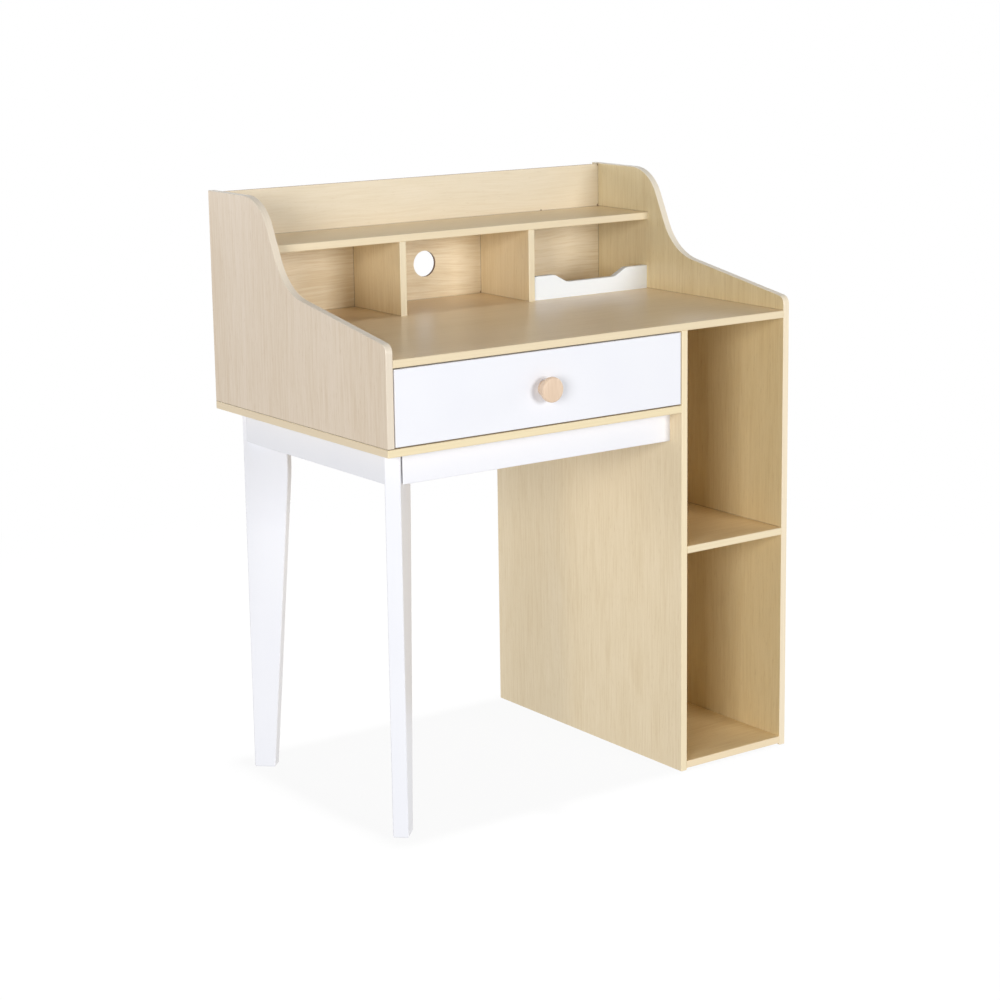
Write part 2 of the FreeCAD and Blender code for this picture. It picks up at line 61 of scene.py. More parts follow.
class NodeBench:
    # shorthand for laying out one material
    def __init__(self, name):
        self.material = bpy.data.materials.new(name)
        self.material.use_nodes = True
        self.tree = self.material.node_tree
        self.tree.nodes.clear()
        output = self.add("ShaderNodeOutputMaterial")
        self.shader = self.add("ShaderNodeBsdfPrincipled")
        self.link(self.shader.outputs["BSDF"], output.inputs["Surface"])
        self.coords = self.add("ShaderNodeTexCoord")
        self.place = self.coords.outputs["Object"]

    def add(self, kind, **settings):
        node = self.tree.nodes.new(kind)
        for key, value in settings.items():
            setattr(node, key, value)
        return node

    def link(self, source, target):
        self.tree.links.new(source, target)

    def feed(self, socket, value):
        if isinstance(value, (int, float, tuple)):
            socket.default_value = value
        else:
            self.link(value, socket)

    def stretched(self, scale, offset=(0, 0, 0)):
        mapping = self.add("ShaderNodeMapping")
        mapping.inputs["Scale"].default_value = scale
        mapping.inputs["Location"].default_value = offset
        self.link(self.place, mapping.inputs["Vector"])
        return mapping.outputs["Vector"]

    def split(self, vector):
        node = self.add("ShaderNodeSeparateXYZ")
        self.link(vector, node.inputs["Vector"])
        return node.outputs

    def sway(self, amount, axis):
        # pushes every later pattern sideways by a slowly changing amount
        drift = self.add("ShaderNodeCombineXYZ")
        self.link(amount, drift.inputs[axis])
        node = self.add("ShaderNodeVectorMath", operation="ADD")
        self.link(self.place, node.inputs[0])
        self.link(drift.outputs["Vector"], node.inputs[1])
        self.place = node.outputs["Vector"]

    def noise(self, vector, detail=3, rough=0.55, twist=0):
        noise = self.add("ShaderNodeTexNoise")
        noise.inputs["Scale"].default_value = 1
        noise.inputs["Detail"].default_value = detail
        noise.inputs["Roughness"].default_value = rough
        noise.inputs["Distortion"].default_value = twist
        self.link(vector, noise.inputs["Vector"])
        return noise.outputs["Fac"]

    def span(self, value, low, high, outLow=0, outHigh=1):
        node = self.add("ShaderNodeMapRange")
        node.inputs["From Min"].default_value = low
        node.inputs["From Max"].default_value = high
        node.inputs["To Min"].default_value = outLow
        node.inputs["To Max"].default_value = outHigh
        self.link(value, node.inputs["Value"])
        return node.outputs["Result"]

    def calc(self, kind, first, second=0):
        node = self.add("ShaderNodeMath", operation=kind)
        self.feed(node.inputs[0], first)
        self.feed(node.inputs[1], second)
        return node.outputs["Value"]

    def both(self, *masks):
        total = masks[0]
        for mask in masks[1:]:
            total = self.calc("MULTIPLY", total, mask)
        return total

    def closeTo(self, value, middle, half):
        gap = self.calc("ABSOLUTE", self.calc("SUBTRACT", value, middle))
        return self.calc("LESS_THAN", gap, half)

    def ramp(self, value, stops, lean=(1, 1, 1)):
        node = self.add("ShaderNodeValToRGB")
        steps = node.color_ramp.elements
        while len(steps) < len(stops):
            steps.new(0.5)
        for step, (place, colour) in zip(steps, stops):
            step.position = place
            step.color = (*[part * turn for part, turn in zip(linear(colour), lean)], 1)
        self.link(value, node.inputs["Fac"])
        return node.outputs["Color"]

    def cloudy(self, pattern, dull, bright, lean=(1, 1, 1)):
        low, high = noiseEnds
        return self.ramp(pattern, [(low, dull), (high, bright)], lean)

    def blend(self, share, first, second, kind="MIX"):
        node = self.add("ShaderNodeMix", data_type="RGBA", blend_type=kind)
        # sockets 0, 6 and 7 take the share and the two colours, and 2 gives the result
        for index, value in zip((0, 6, 7), (share, first, second)):
            self.feed(node.inputs[index], value)
        return node.outputs[2]

    def bump(self, height, strength, distance):
        node = self.add("ShaderNodeBump")
        node.inputs["Strength"].default_value = strength
        node.inputs["Distance"].default_value = distance
        self.link(height, node.inputs["Height"])
        self.link(node.outputs["Normal"], self.shader.inputs["Normal"])


# wood-grain foil on the boards, with paler banding on their edges
mapleFoil = {
    "pale": (236, 217, 184),
    "mid": (230, 210, 174),
    "dark": (221, 198, 159),
    "reach": 0.15,          # from the mid tone to the dark and the pale one
    "seedShift": (3.7, 5.1, 7.3),      # moves the print on from board to board
    # every scale is in repeats per metre, along and across the grain
    "sway": {"scale": (2.6, 9), "detail": 2, "rough": 0.5, "twist": 0},
    "swayFrom": (0.25, 0.75),     # noise that gives the furthest push either way
    "wave": 0.004,          # how far the grain wanders
    "layers": {             # their shares add up to 1
        "broad": {"scale": (1.6, 15), "detail": 3, "rough": 0.5, "twist": 0.4, "share": 0.28},
        "streak": {"scale": (11, 235), "detail": 4, "rough": 0.6, "twist": 0, "share": 0.52},
        "fine": {"scale": (24, 620), "detail": 2, "rough": 0.6, "twist": 0, "share": 0.2},
    },
    "fleck": (203, 175, 132),
    "flecks": {"scale": (60, 760), "detail": 1, "rough": 0.5, "twist": 0},
    "fleckFrom": (0.64, 0.74),    # noise where a fleck begins, and is full
    "fleckShare": 0.4,
    "band": (242, 226, 193),
    "bandDark": (237, 220, 186),
    "thread": {"scale": (7, 430), "detail": 2, "rough": 0.5},     # of the banding, along and across the edge
    "roughness": 0.28,
    "relief": 0.00004,
    "reliefStrength": 0.35,
    "reliefAbove": 0.9,     # a fainter print has no relief
    "paintedShadeBrown": (118, 94, 68),          # dark brown of the painted shade at joints, corners and a panel's foot
    "rawEdge": (152, 124, 102),     # uncovered edges of the thin backs
    "rawEdgeDark": (136, 110, 90),
    "rawRoughness": 0.9,
    "seam": {"half": 0.0006, "depth": 0.4},     # shaded line where another board's top meets this one
}
facing = 0.9    # how squarely a surface has to look along an axis to count as a face of that side


class BoardBench(NodeBench):
    def __init__(self, name, board, seed):
        super().__init__(name)
        self.board = board
        self.shift = tuple(seed * step for step in mapleFoil["seedShift"])
        self.across = 3 - board["along"] - board["face"]     # the third axis
        self.spot = self.split(self.place)
        self.normal = self.split(self.coords.outputs["Normal"])
        turned = self.normal[board["face"]]
        # the faces that look down and up the board's axis; anything that looks elsewhere is an edge
        self.lowFace = self.calc("LESS_THAN", turned, -facing)
        self.highFace = self.calc("GREATER_THAN", turned, facing)
        self.edge = self.calc("LESS_THAN", self.calc("ABSOLUTE", turned), facing)
        self.figure = board.get("figure", 1)    # how strongly the print shows

    def pattern(self, look):
        scale = [0.0, 0.0, 0.0]
        scale[self.board["along"]], scale[self.across] = look["scale"]
        drawnOut = self.stretched(tuple(scale), self.shift)
        return self.noise(drawnOut, look["detail"], look["rough"], look["twist"])

    def grain(self):
        wave = self.board.get("wave", mapleFoil["wave"])
        drift = self.pattern(mapleFoil["sway"])
        self.sway(self.span(drift, *mapleFoil["swayFrom"], -wave, wave), self.across)
        figured = 0
        for layer in mapleFoil["layers"].values():
            figured = self.calc("ADD", figured, self.calc("MULTIPLY", self.pattern(layer), layer["share"]))
        tone = self.drawn(figured, self.figure)
        if "calm" in self.board:
            # the full print shows only on the low face, below a height
            calm = self.board["calm"]
            quiet = self.drawn(figured, calm["figure"])
            lively = self.both(self.lowFace, self.calc("LESS_THAN", self.spot[2], calm["above"]))
            tone = self.calc("ADD", quiet, self.both(lively, self.calc("SUBTRACT", tone, quiet)))
        return tone

    def drawn(self, figured, strength):
        return self.span(figured, 0, 1, 0.5 - 0.5 * strength, 0.5 + 0.5 * strength)

    def foil(self, tone):
        look, lean, reach = mapleFoil, self.board["lean"], mapleFoil["reach"]
        stops = [(0.5 - reach, look["dark"]), (0.5, look["mid"]), (0.5 + reach, look["pale"])]
        foil = self.ramp(tone, stops, lean)
        fleckTone = tuple(part * turn for part, turn in zip(linear(look["fleck"]), (*lean, 1)))
        calmest = min(self.figure, self.board.get("calm", {}).get("figure", self.figure))
        flecks = self.span(self.pattern(look["flecks"]), *look["fleckFrom"], 0, look["fleckShare"] * calmest)
        return self.blend(flecks, foil, fleckTone)

    def banding(self):
        look, lean, thread = mapleFoil, self.board["lean"], mapleFoil["thread"]
        scale = [thread["scale"][0]] * 3
        scale[self.board["face"]] = thread["scale"][1]
        threads = self.noise(self.stretched(tuple(scale), self.shift), thread["detail"], thread["rough"])
        darker, paler = ("rawEdgeDark", "rawEdge") if "rawEdges" in self.board else ("bandDark", "band")
        bandLean = self.board.get("bandLean", tuple((1 + turn) / 2 for turn in lean))
        return self.cloudy(threads, look[darker], look[paler], bandLean)

    # blends a colour towards the dark brown of the painted shade
    def shaded(self, share, colour):
        return self.blend(share, colour, linear(mapleFoil["paintedShadeBrown"]))

    def cornerShadeLines(self, colour):
        # painted shade: dark lines beside the boards that meet this one, and dark spots in the corners
        lines, near = self.board["cornerShadeLines"], 0
        aside = self.calc("ABSOLUTE", self.spot[0])
        for middle, under in lines["places"]:
            line = self.closeTo(aside, middle, lines["half"])
            line = self.both(line, self.calc("LESS_THAN", self.spot[2], under), lines["depth"])
            near = self.calc("MAXIMUM", near, line)
        for x, z, radius in lines["shadeSpots"]:
            offsets = [self.calc("SUBTRACT", self.spot[0], x), self.calc("SUBTRACT", self.spot[2], z)]
            square = self.calc("ADD", *[self.both(offset, offset) for offset in offsets])
            shadeSpot = self.both(self.calc("LESS_THAN", square, radius * radius), lines["shadeSpotDepth"])
            near = self.calc("MAXIMUM", near, shadeSpot)
        return self.shaded(self.both(near, self.lowFace), colour)

    def seams(self, colour):
        run, seam, near = 1 - self.board["face"], mapleFoil["seam"], 0
        for joined in self.board["seams"]:
            low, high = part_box(joined)
            line = self.closeTo(self.spot[2], high[2] + seam["half"], seam["half"])
            after = self.calc("GREATER_THAN", self.spot[run], low[run])
            before = self.calc("LESS_THAN", self.spot[run], high[run])
            near = self.calc("MAXIMUM", near, self.both(line, after, before))
        sides = {"low": self.lowFace, "high": self.highFace, "both": self.calc("SUBTRACT", 1, self.edge)}
        return self.shaded(self.both(near, sides[self.board["seamSide"]], seam["depth"]), colour)

    def tinted(self, share, colour, tint):
        return self.blend(share, colour, (*tint, 1), "MULTIPLY")

    def tints(self, colour):
        # these make up for light that the studio doesn't give
        if "upper" in self.board:
            upper = self.board["upper"]
            colour = self.tinted(self.span(self.spot[2], *upper["between"]), colour, upper["tint"])
        if "frontTint" in self.board:
            front = self.board["frontTint"]
            low = self.both(self.lowFace, self.calc("LESS_THAN", self.spot[2], front["under"]))
            colour = self.tinted(low, colour, front["tint"])
        if "leftTint" in self.board:
            leftEnd = self.calc("LESS_THAN", self.normal[0], -facing)
            colour = self.tinted(leftEnd, colour, self.board["leftTint"])
        return colour

    def complete(self, colour, tone):
        look, inputs = mapleFoil, self.shader.inputs
        self.link(colour, inputs["Base Color"])
        inputs["Roughness"].default_value = look["roughness"]
        if "rawEdges" in self.board:
            rough = self.span(self.edge, 0, 1, look["roughness"], look["rawRoughness"])
            self.link(rough, inputs["Roughness"])
        if self.figure > look["reliefAbove"]:
            level = self.both(tone, self.calc("SUBTRACT", 1, self.edge))
            self.bump(level, look["reliefStrength"], look["relief"] * self.figure)
        return self.material


def grainBoard(name, board, seed):
    bench = BoardBench(name, board, seed)
    tone = bench.grain()
    colour = bench.blend(bench.edge, bench.foil(tone), bench.banding())
    # painted shade along a panel's foot, where it meets the board below
    if "footShadeBelow" in board:
        colour = bench.shaded(bench.calc("LESS_THAN", bench.spot[2], board["footShadeBelow"]), colour)
    # painted shade in the corners where the hutch back meets other boards
    if "cornerShadeLines" in board:
        colour = bench.cornerShadeLines(colour)
    if "seams" in board:
        colour = bench.seams(colour)
    return bench.complete(bench.tints(colour), tone)


# heights and faces that the marks on the boards keep to
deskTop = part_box("desk_top")[1][2]
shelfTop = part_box("hutch_shelf")[1][2]
shelfMiddle = (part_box("hutch_shelf")[0][2] + shelfTop) / 2
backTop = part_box("hutch_back")[1][2]
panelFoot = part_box("left_side_panel")[0][2]
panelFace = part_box("right_side_panel")[0][0]
dividerLeft, dividerRight = [corner[0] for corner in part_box("hutch_divider_right")]
lineGap = 0.0004    # from a board's face to the middle of the line beside it

# painted shade: dark lines and small dark spots where the hutch back meets the other boards, standing in for
# the shade in those corners
hutchCornerShade = {
    "places": (
        (dividerLeft - lineGap, shelfTop),      # from the middle of the desk, and up to a height
        (dividerRight + lineGap, shelfTop),
        (panelFace - lineGap, backTop),
    ),
    "shadeSpots": (
        (panelFace - 0.001, shelfTop + 0.0015, 0.0026),     # across, up, and its radius
        (panelFace - 0.1264, shelfTop + 0.0012, 0.0017),
        (dividerLeft - lineGap, deskTop + 0.0015, 0.0026),
        (panelFace - 0.001, backTop - 0.0014, 0.0017),
    ),
    "half": 0.0005,
    "depth": 0.6,
    "shadeSpotDepth": 0.75,
}

# which way the grain runs and the board faces, 0 1 2 for X Y Z, and how its print leans in colour; a lean is
# partly the board's own tone and partly painted light and shade, lighter or darker by how light falls on
# that board
boards = {
    "left_side_panel": {
        "along": 2, "face": 0, "lean": (0.92, 0.94, 1.1), "bandLean": (0.87, 0.9, 1.05),
        "footShadeBelow": panelFoot + 0.0011,        # painted shade: a thin dark strip along its foot, where it stands on the bay floor
        "seams": ("desk_top", "hutch_shelf"), "seamSide": "high",
    },
    "right_side_panel": {
        "along": 2, "face": 0, "lean": (0.95, 0.93, 0.79), "bandLean": (0.99, 1.0, 1.06),
        "upper": {"between": (deskTop - 0.03, deskTop + 0.09), "tint": (0.92, 0.97, 1.08)},
        "seams": ("desk_top", "hutch_shelf", "cabinet_shelf"), "seamSide": "low",
    },
    "cabinet_divider": {"along": 2, "face": 0, "lean": (1.0, 1.02, 1.04), "bandLean": (0.97, 0.97, 0.94)},
    "hutch_divider_left": {
        "along": 2, "face": 0, "lean": (0.99, 0.99, 0.93), "bandLean": (0.93, 0.96, 1.0),
        "seams": ("desk_top",), "seamSide": "both",
    },
    "hutch_divider_right": {
        "along": 2, "face": 0, "lean": (0.96, 0.96, 0.92), "bandLean": (0.93, 0.96, 1.0),
        "seams": ("desk_top",), "seamSide": "both",
    },
    "desk_top": {
        "along": 0, "face": 2, "lean": (0.99, 0.95, 0.92), "bandLean": (0.91, 0.9, 0.88), "figure": 0.8,
    },
    "drawer_bay_floor": {
        "along": 0, "face": 2, "lean": (1.0, 0.97, 0.94), "bandLean": (0.95, 0.95, 0.89),
        "leftTint": (0.95, 0.92, 0.98),
    },
    "cabinet_bottom": {"along": 0, "face": 2, "lean": (1.18, 1.14, 1.0), "bandLean": (0.97, 0.935, 0.9)},
    "cabinet_shelf": {"along": 0, "face": 2, "lean": (1.18, 1.1, 0.95), "bandLean": (0.95, 0.95, 0.93)},
    "hutch_shelf": {
        "along": 0, "face": 2, "lean": (0.89, 0.85, 0.77), "bandLean": (0.93, 0.94, 0.95), "figure": 0.7,
    },
    "hutch_back": {
        "along": 0, "face": 1, "lean": (1.01, 1.09, 1.26), "rawEdges": True,
        "wave": 0.008, "figure": 1.8, "calm": {"above": shelfMiddle, "figure": 0.6},
        "frontTint": {"under": shelfMiddle, "tint": (1.13, 1.12, 1.08)},
        "cornerShadeLines": hutchCornerShade,
        "seams": ("desk_top", "hutch_shelf"), "seamSide": "low",
    },
    "cabinet_back": {"along": 2, "face": 1, "lean": (1.0, 0.97, 0.94), "rawEdges": True},
    "drawer_bay_back": {"along": 0, "face": 1, "lean": (1.0, 0.97, 0.94), "rawEdges": True},
}


def dress(node, material):
    nodes[node].data.materials.clear()
    nodes[node].data.materials.append(material)


for seed, (name, board) in enumerate(boards.items(), 1):
    dress(name, grainBoard("maple_" + name, board, seed))
print("grain on", len(boards), "boards")


# white coats, a faint roll of the sprayed paint in them
lacquer = {"colour": (237, 238, 243), "shade": (235, 236, 242), "roughness": 0.32}
# the bin rail's white is paler and bluer than the other lacquer: painted light, making up for the warm, dim
# light that reaches it
railLacquerPaintedLight = {"colour": (243, 249, 255), "shade": (241, 247, 253), "roughness": 0.32}
drawerFoil = {"colour": (238, 238, 238), "shade": (231, 231, 231), "roughness": 0.5}
powderCoat = {"colour": (240, 240, 238), "shade": (234, 234, 231), "roughness": 0.42}
nylon = {"colour": (232, 231, 226), "shade": (225, 224, 218), "roughness": 0.45}
sprayRoll = {
    "cloud": {"scale": 9, "detail": 2, "rough": 0.5},      # scales in repeats per metre
    "peel": {"scale": 420, "detail": 2, "rough": 0.4},
    "strength": 0.12,
    "depth": 0.00005,
}


def evenNoise(bench, look):
    return bench.noise(bench.stretched((look["scale"],) * 3), look["detail"], look["rough"])


def sprayedWhite(name, look):
    bench = NodeBench(name)
    colour = bench.cloudy(evenNoise(bench, sprayRoll["cloud"]), look["shade"], look["colour"])
    bench.link(colour, bench.shader.inputs["Base Color"])
    bench.shader.inputs["Roughness"].default_value = look["roughness"]
    bench.bump(evenNoise(bench, sprayRoll["peel"]), sprayRoll["strength"], sprayRoll["depth"])
    return bench.material


def coat(pieces, material):
    for piece in pieces:
        dress(piece, material)


legFrame = ("front_leg", "rear_leg", "side_apron", "front_apron", "rear_apron")
drawerBox = ("drawer_side_left", "drawer_side_right", "drawer_back", "drawer_bottom")
runners = [piece for piece in nodes
           if piece.startswith(("cabinet_runner_", "drawer_runner_")) and not piece.endswith("screws")]
coat((*legFrame, "drawer_front"), sprayedWhite("white_lacquer", lacquer))
coat(("bin_rail",), sprayedWhite("white_rail_lacquer_painted_light", railLacquerPaintedLight))
coat(drawerBox, sprayedWhite("white_foil", drawerFoil))
coat(runners, sprayedWhite("runner_powder_coat", powderCoat))
coat([piece for piece in nodes if "_roller_" in piece], sprayedWhite("roller_nylon", nylon))
print("white parts coated")


zinc = {
    "bright": (206, 208, 211),
    "dull": (176, 179, 184),
    "roughness": (0.26, 0.4),      # where it is bright, and dull
    "bloom": {"scale": 220, "detail": 4, "rough": 0.6},
}


def zincPlate():
    bench = NodeBench("bright_zinc")
    bloom = evenNoise(bench, zinc["bloom"])
    colour = bench.cloudy(bloom, zinc["dull"], zinc["bright"])
    bench.link(colour, bench.shader.inputs["Base Color"])
    smooth, rough = zinc["roughness"]
    bench.link(bench.span(bloom, *noiseEnds, rough, smooth), bench.shader.inputs["Roughness"])
    bench.shader.inputs["Metallic"].default_value = 1
    return bench.material


plated = zincPlate()
platedWords = ("screw", "rivets", "cam_", "angle_brackets")
coat([piece for piece in nodes if any(word in piece for word in platedWords)], plated)


beech = {
    "pale": (228, 203, 178),
    "dark": (217, 190, 163),
    "roughness": 0.42,
    "grain": {"scale": (30.0, 420.0), "detail": 3, "rough": 0.55, "twist": 0.2},     # along and across it
    "strength": 0.2,
    "relief": 0.00006,
}


def beechWood(name, along):
    bench, look = NodeBench(name), beech["grain"]
    scale = [look["scale"][1]] * 3
    scale[along] = look["scale"][0]
    grain = bench.noise(bench.stretched(tuple(scale)), look["detail"], look["rough"], look["twist"])
    colour = bench.cloudy(grain, beech["dark"], beech["pale"])
    bench.link(colour, bench.shader.inputs["Base Color"])
    bench.shader.inputs["Roughness"].default_value = beech["roughness"]
    bench.bump(grain, beech["strength"], beech["relief"])
    return bench.material


coat(("dowels", "drawer_dowels"), beechWood("dowel_beech", 0))


class Lathe:
    # turns profiles of (radius, depth) about an axis, all into one piece
    def __init__(self):
        self.mesh = bmesh.new()

    def spin(self, start, axis, profile, steps):
        side = axis.orthogonal().normalized()
        other = axis.cross(side)
        turns = [math.tau * step / steps for step in range(steps)]
        rings = []
        for radius, depth in profile:
            middle = start + axis * depth
            spots = [Vector()]
            if radius:
                spots = [side * math.cos(turn) + other * math.sin(turn) for turn in turns]
            rings.append([self.mesh.verts.new(middle + spot * radius) for spot in spots])
        for first, second in zip(rings, rings[1:]):
            self.skin(first, second)
        return rings

    def skin(self, first, second):
        count = max(len(first), len(second))
        for step in range(count):
            after = (step + 1) % count
            corners = [first[step % len(first)], first[after % len(first)]]
            corners += [second[after % len(second)], second[step % len(second)]]
            self.mesh.faces.new(dict.fromkeys(corners))

    def crossRecess(self, ring, start, axis, arm, half, depth, taper=0.7):
        # a driver's cross sunk into the flat inside a ring
        side = axis.orthogonal().normalized()
        other = axis.cross(side)
        outline = [(arm, -half), (arm, half), (half, half), (half, arm), (-half, arm), (-half, half)]
        outline += [(-x, -y) for x, y in outline]
        levels = []
        for sink, size in ((0, 1), (depth, taper)):
            middle = start + axis * sink
            spots = [middle + (side * x + other * y) * size for x, y in outline]
            levels.append([self.mesh.verts.new(spot) for spot in spots])
        self.skin(*levels)
        self.mesh.faces.new(levels[1])
        rims = []
        for loop in (ring, levels[0]):
            for ends in zip(loop, loop[1:] + loop[:1]):
                rims.append(self.mesh.edges.get(ends) or self.mesh.edges.new(ends))
        bmesh.ops.triangle_fill(self.mesh, use_beauty=True, edges=rims)

    def piece(self, name, material, sharp=35):
        # edges that turn more than this many degrees stay sharp
        bmesh.ops.recalc_face_normals(self.mesh, faces=self.mesh.faces)
        for face in self.mesh.faces:
            face.smooth = True
        mesh = bpy.data.meshes.new(name)
        self.mesh.to_mesh(mesh)
        self.mesh.free()
        mesh.set_sharp_from_angle(angle=math.radians(sharp))
        mesh.materials.append(material)
        made = bpy.data.objects.new(name, mesh)
        scene.collection.objects.link(made)
        return made


def arc(centre, radius, first, last, steps):
    turns = [math.radians(first + (last - first) * step / steps) for step in range(steps + 1)]
    return [(centre[0] + radius * math.cos(turn), centre[1] + radius * math.sin(turn)) for turn in turns]


# the knob in millimetres: a straight neck, a hollow that opens into the head, and a rounded front edge
turnedKnob = {
    "neck": 12.5,
    "neckLength": 4.0,
    "foot": 0.4,            # bevel against the drawer
    "hollow": 12.7,         # radius of the hollow, how far round it goes and in how many steps
    "hollowTurn": 59,
    "hollowSteps": 8,
    "flare": 3.7,           # the same for the head's rear edge
    "flareTurn": 38,
    "flareSteps": 4,
    "head": 19.5,
    "frontEdge": 3.4,       # a quarter turn
    "frontSteps": 6,
    "length": 24.0,
    "steps": 72,
    "sharp": 60,
}


def knobOutline(look):
    neck, head, length, edge = look["neck"], look["head"], look["length"], look["frontEdge"]
    hollowMiddle = (neck + look["hollow"], look["neckLength"])
    hollow = arc(hollowMiddle, look["hollow"], 180, 180 - look["hollowTurn"], look["hollowSteps"])
    flareLevel = hollow[-1][1] + look["flare"] * math.sin(math.radians(look["flareTurn"]))
    flareMiddle = (head - look["flare"], flareLevel)
    flare = arc(flareMiddle, look["flare"], -look["flareTurn"], 0, look["flareSteps"])
    front = arc((head - edge, length - edge), edge, 0, 90, look["frontSteps"])
    foot = [(0, 0), (neck - look["foot"], 0), (neck, look["foot"])]
    outline = foot + hollow[:-1] + flare + front + [(0, length)]
    return [(radius / 1000, depth / 1000) for radius, depth in outline]


def turnKnob():
    low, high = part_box("drawer_knob")
    seat = Vector(((low[0] + high[0]) / 2, high[1], (low[2] + high[2]) / 2))
    lathe = Lathe()
    lathe.spin(seat, Vector((0, -1, 0)), knobOutline(turnedKnob), turnedKnob["steps"])
    knob = lathe.piece("turned_knob", beechWood("knob_beech", 2), turnedKnob["sharp"])
    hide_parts("drawer_knob")
    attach(knob, "drawer")


turnKnob()


def solidsOf(node):
    # corner points of each separate solid in a node
    mesh = nodes[node].data
    keys = [tuple(round(part, 6) for part in vert.co) for vert in mesh.vertices]    # to a micrometre
    home = {key: key for key in keys}

    def root(key):
        while home[key] != key:
            key = home[key]
        return key

    for face in mesh.polygons:
        first = root(keys[face.vertices[0]])
        for corner in face.vertices[1:]:
            home[root(keys[corner])] = first
    solids = {}
    for key in home:
        solids.setdefault(root(key), []).append(Vector(key))
    return solids.values()


# how a screw differs from its plain solid, in shares of the solid's own head
crossScrew = {
    "headFrom": 0.8,    # corners further out than this belong to the head
    "flat": 0.6,        # inside the dome, which then goes down to the rim
    "rim": 0.5,
    "domeSteps": 3,
    "arm": 0.42,
    "half": 0.12,
    "sink": 0.65,
    "point": 2.5,       # shank radii the point is long
    "steps": 24,
}


def measured(points):
    # start, direction and (depth, radius) of every corner, the head first
    middle = sum(points, Vector()) / len(points)
    ways = numpy.linalg.eigh(numpy.cov(numpy.array([point - middle for point in points]).T))[1]
    axis = Vector(ways[:, 2])       # the way it is longest
    spots = [((point - middle).dot(axis), (point - middle).cross(axis).length) for point in points]
    widest = max(radius for depth, radius in spots)
    heads = [depth for depth, radius in spots if radius > crossScrew["headFrom"] * widest]
    depths = [depth for depth, radius in spots]
    if sum(heads) / len(heads) > (min(depths) + max(depths)) / 2:
        axis = -axis
        spots = [(-depth, radius) for depth, radius in spots]
    first = min(depth for depth, radius in spots)
    return middle + axis * first, axis, [(depth - first, radius) for depth, radius in spots]


def makeScrews(node, body):
    lathe = Lathe()
    flat, rim = crossScrew["flat"], crossScrew["rim"]
    dome = arc((0, 0), 1, -90, 0, crossScrew["domeSteps"])
    head = [(flat + (1 - flat) * x, rim * (1 + y)) for x, y in dome] + [(1, 1)]
    for points in solidsOf(node):
        start, axis, spots = measured(points)
        wide = max(radius for depth, radius in spots)
        shoulder = crossScrew["headFrom"] * wide
        tall = max(depth for depth, radius in spots if radius > shoulder)
        thin = max(radius for depth, radius in spots if radius <= shoulder)
        long = max(depth for depth, radius in spots)
        outline = [(radius * wide, depth * tall) for radius, depth in head]
        outline += [(thin, tall), (thin, long - crossScrew["point"] * thin), (0, long)]
        top = lathe.spin(start, axis, outline, crossScrew["steps"])[0]
        arm, half = crossScrew["arm"] * wide, crossScrew["half"] * wide
        lathe.crossRecess(top, start, axis, arm, half, crossScrew["sink"] * tall)
    screws = lathe.piece("cross_" + node, plated)
    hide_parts(node)
    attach(screws, body)


# all but the first and the last in shares of the nut's own radius or height
camNut = {"radius": 0.006, "rim": 0.05, "arm": 0.62, "half": 0.15, "sink": 0.28, "steps": 32}


def makeCamNuts(node, body):
    # carcass nuts open downwards, the drawer's towards the middle of the drawer
    lathe = Lathe()
    solids = []
    for points in solidsOf(node):
        corners = [[extreme(point[k] for point in points) for k in range(3)] for extreme in (min, max)]
        solids.append([Vector(corner) for corner in corners])
    drawerMiddle = sum(low.x + high.x for low, high in solids) / 2 / len(solids)
    for low, high in solids:
        middle = (low + high) / 2
        axis = Vector((0, 0, 1))
        if body == "drawer":
            axis = Vector((math.copysign(1, middle.x - drawerMiddle), 0, 0))
        tall = abs((high - low).dot(axis))
        wide, start = camNut["radius"], middle - axis * (tall / 2)
        rim = camNut["rim"] * wide
        bevel = [(wide - 2 * rim, 0), (wide - 0.6 * rim, 0.4 * rim), (wide, 1.5 * rim)]
        top = lathe.spin(start, axis, bevel + [(wide, tall), (0, tall)], camNut["steps"])[0]
        arm, half = camNut["arm"] * wide, camNut["half"] * wide
        lathe.crossRecess(top, start, axis, arm, half, camNut["sink"] * tall)
    nuts = lathe.piece("cross_" + node, plated)
    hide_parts(node)
    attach(nuts, body)


for piece in list(nodes):
    if piece.endswith(("_screws", "_screw")):
        makeScrews(piece, "drawer" if piece.startswith(("drawer_", "knob_")) else "carcass")
makeCamNuts("cam_nuts", "carcass")
makeCamNuts("drawer_cam_nuts", "drawer")
print("fittings dressed")


# camera, fitted to the desk's own corners and vanishing lines
shot = {
    "place": (-2.2233, -3.1029, 1.3131),
    "yaw": 37.284,
    "pitch": 11.802,
    "roll": -0.433,
    "frame": 1000,      # pixels across, for the next two
    "focal": 2391.9,
    "middle": (577.7, 451.7),
    "sensor": 36,
    "sight": 50,        # metres
}


def setCamera():
    yaw, pitch, roll = (math.radians(shot[key]) for key in ("yaw", "pitch", "roll"))
    ahead = Vector((math.sin(yaw) * math.cos(pitch), math.cos(yaw) * math.cos(pitch), -math.sin(pitch)))
    side = Vector((math.cos(yaw), -math.sin(yaw), 0))
    above = side.cross(ahead)
    rolledSide = side * math.cos(roll) + above * math.sin(roll)
    rolledUp = above * math.cos(roll) - side * math.sin(roll)
    data = bpy.data.cameras.new("shot")
    data.sensor_width = shot["sensor"]
    data.lens = shot["focal"] / shot["frame"] * data.sensor_width
    data.shift_x = 0.5 - shot["middle"][0] / shot["frame"]
    data.shift_y = shot["middle"][1] / shot["frame"] - 0.5
    data.clip_end = shot["sight"]
    camera = bpy.data.objects.new("shot", data)
    scene.collection.objects.link(camera)
    turned = Matrix((rolledSide, rolledUp, -ahead)).transposed().to_4x4()
    camera.matrix_world = Matrix.Translation(shot["place"]) @ turned
    scene.camera = camera


setCamera()


